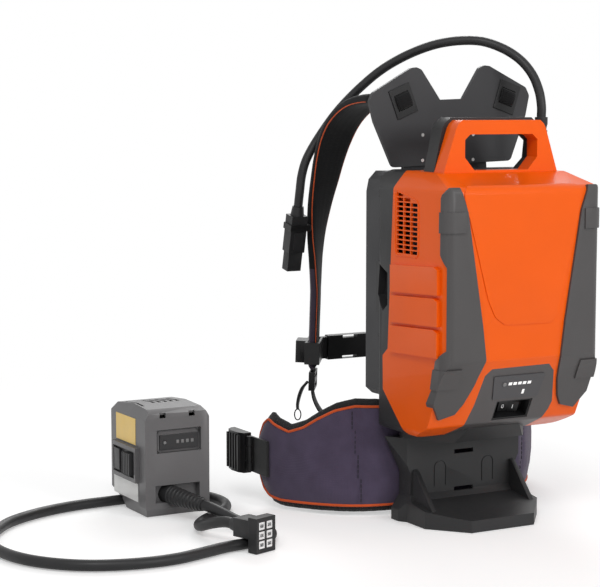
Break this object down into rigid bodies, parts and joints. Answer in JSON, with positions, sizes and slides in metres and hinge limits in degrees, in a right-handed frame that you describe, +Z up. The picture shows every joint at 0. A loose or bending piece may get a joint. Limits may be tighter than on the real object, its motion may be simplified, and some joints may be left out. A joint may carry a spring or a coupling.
{
  "type": "backpack battery with tool adapter",
  "caption": "Battery pack worn on the back, with harness, hip belt and floor stand, an output lead, and a battery-shaped adapter on its own plug lead.",
  "frame": {"origin": "middle of the stand's base, on the ground", "axes": "+Z up, +Y from the front panel to the wearer, +X to the right of someone who faces the front panel"},
  "size_m": [0.7642, 0.386, 0.5705],
  "materials": {
    "orange_shell": "satin",
    "dark_shell": "fine texture",
    "grey_bumper": "satin",
    "panel_grey": "satin",
    "white_lamp": "clear",
    "button_grey": "satin",
    "board_green": "matt",
    "black_plastic": "satin",
    "cell_can": "sleeved",
    "holder_grey": "matt",
    "steel": "plated",
    "brass_contact": "bright",
    "black_rubber": "matt",
    "black_foam": "spacer mesh over foam",
    "strap_fabric": "woven",
    "belt_fabric": "woven",
    "adapter_grey": "satin",
    "adapter_dark": "satin",
    "sticker": "printed film"
  },
  "bodies": {
    "pack": {"front_shell": "orange_shell", "rear_shell": "dark_shell", "corner_bumper_left": "grey_bumper", "corner_bumper_right": "grey_bumper", "handle_front": "orange_shell", "handle_rear": "dark_shell", "console": "grey_bumper", "status_panel": "panel_grey", "status_leds": "white_lamp", "status_board": "board_green", "switch_well": "black_plastic", "cells": "cell_can", "cell_holder_front": "holder_grey", "cell_holder_rear": "holder_grey", "busbars": "steel", "control_board": "board_green", "pack_bolts": "steel", "shell_screws": "steel", "cable_gland": "black_rubber", "output_lead": "black_rubber", "lead_connector": "black_plastic", "lead_clip": "black_plastic", "stand": "dark_shell", "stand_screws": "steel", "harness_frame": "dark_shell", "frame_bolts": "steel", "yoke_plate": "dark_shell", "yoke_bolts": "steel", "strap_loops": "black_plastic", "back_pads": "black_foam", "shoulder_strap_left": "strap_fabric", "shoulder_strap_right": "strap_fabric", "lower_webbing": "strap_fabric", "ladder_locks": "black_plastic", "hip_belt": "belt_fabric", "hip_wing_left": "belt_fabric", "hip_wing_right": "belt_fabric", "belt_tabs": "black_plastic"},
    "rocker": {"power_rocker": "black_plastic"},
    "status_key": {"status_button": "button_grey"},
    "chest_strap": {"chest_sliders": "black_plastic", "chest_webbing": "strap_fabric", "chest_buckle": "black_plastic"},
    "left_buckle": {"belt_buckle_left": "black_plastic"},
    "right_buckle": {"belt_buckle_right": "black_plastic"},
    "adapter": {"adapter_body": "adapter_grey", "adapter_front": "adapter_grey", "adapter_display": "adapter_dark", "adapter_board": "board_green", "adapter_terminals": "brass_contact", "adapter_screws": "steel", "adapter_labels": "sticker", "adapter_relief": "black_rubber", "adapter_lead": "black_rubber", "plug_body": "black_plastic", "plug_contacts": "brass_contact"},
    "adapter_key": {"adapter_button": "button_grey"},
    "left_latch": {"adapter_latch_left": "adapter_dark"},
    "right_latch": {"adapter_latch_right": "adapter_dark"}
  },
  "joints": [
    {"name": "power_rocker", "type": "hinge", "parent": "pack", "child": "rocker", "pos_m": [0.011, -0.04221, 0.14446], "axis": [0, -0.4239, 0.9057], "range_deg": [0, 16]},
    {"name": "status_button", "type": "slide", "parent": "pack", "child": "status_key", "axis": [0, 0.9057, 0.4239], "range_m": [0, 0.0012], "stiffness_N_per_m": 300},
    {"name": "chest_strap_height", "type": "slide", "parent": "pack", "child": "chest_strap", "axis": [0, -0.0599, 0.9982], "range_m": [-0.005, 0.05]},
    {"name": "left_buckle_swing", "type": "hinge", "parent": "pack", "child": "left_buckle", "pos_m": [-0.195, 0.204, 0.067], "axis": [0, 0, 1], "range_deg": [-60, 30]},
    {"name": "right_buckle_swing", "type": "hinge", "parent": "pack", "child": "right_buckle", "pos_m": [0.195, 0.204, 0.067], "axis": [0, 0, 1], "range_deg": [-30, 60]},
    {"name": "adapter_lift", "type": "slide", "parent": "pack", "child": "adapter", "axis": [0, 0, 1], "range_m": [0, 0.2]},
    {"name": "adapter_button", "type": "slide", "parent": "adapter", "child": "adapter_key", "axis": [0, 1, 0], "range_m": [0, 0.001], "stiffness_N_per_m": 300},
    {"name": "left_latch", "type": "slide", "parent": "adapter", "child": "left_latch", "axis": [1, 0, 0], "range_m": [0, 0.004], "stiffness_N_per_m": 900},
    {"name": "right_latch", "type": "slide", "parent": "adapter", "child": "right_latch", "axis": [-1, 0, 0], "range_m": [0, 0.004], "stiffness_N_per_m": 900}
  ]
}
